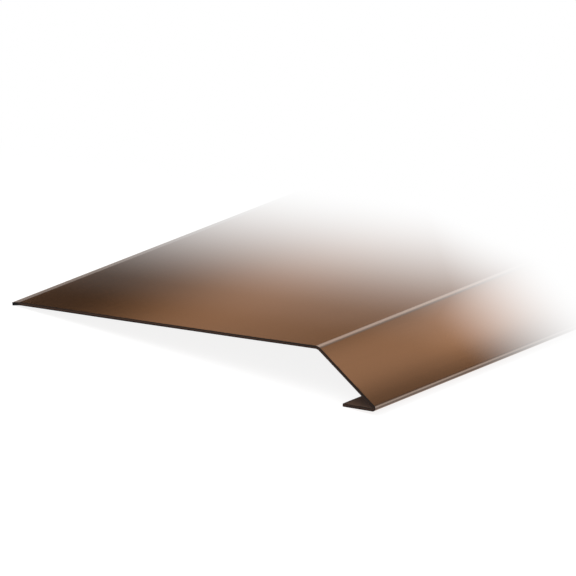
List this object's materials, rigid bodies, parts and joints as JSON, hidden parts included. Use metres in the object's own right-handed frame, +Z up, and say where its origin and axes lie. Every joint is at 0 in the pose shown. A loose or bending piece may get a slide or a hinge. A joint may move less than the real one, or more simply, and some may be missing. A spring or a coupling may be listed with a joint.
{
  "type": "drip edge flashing",
  "caption": "Bent sheet-metal drip edge with a flat roof flange, a sloped drip face and a lip folded back under it.",
  "frame": {"origin": "centre of the floor rectangle under the flashing as it lies on its back edge and lip", "axes": "+Y along the length, +X across towards the drip fold, +Z up"},
  "size_m": [0.1314, 2, 0.0164],
  "materials": {
    "coated_sheet": "satin copper-brown coil coating"
  },
  "bodies": {
    "root": {"flashing": "coated_sheet"}
  },
  "joints": []
}
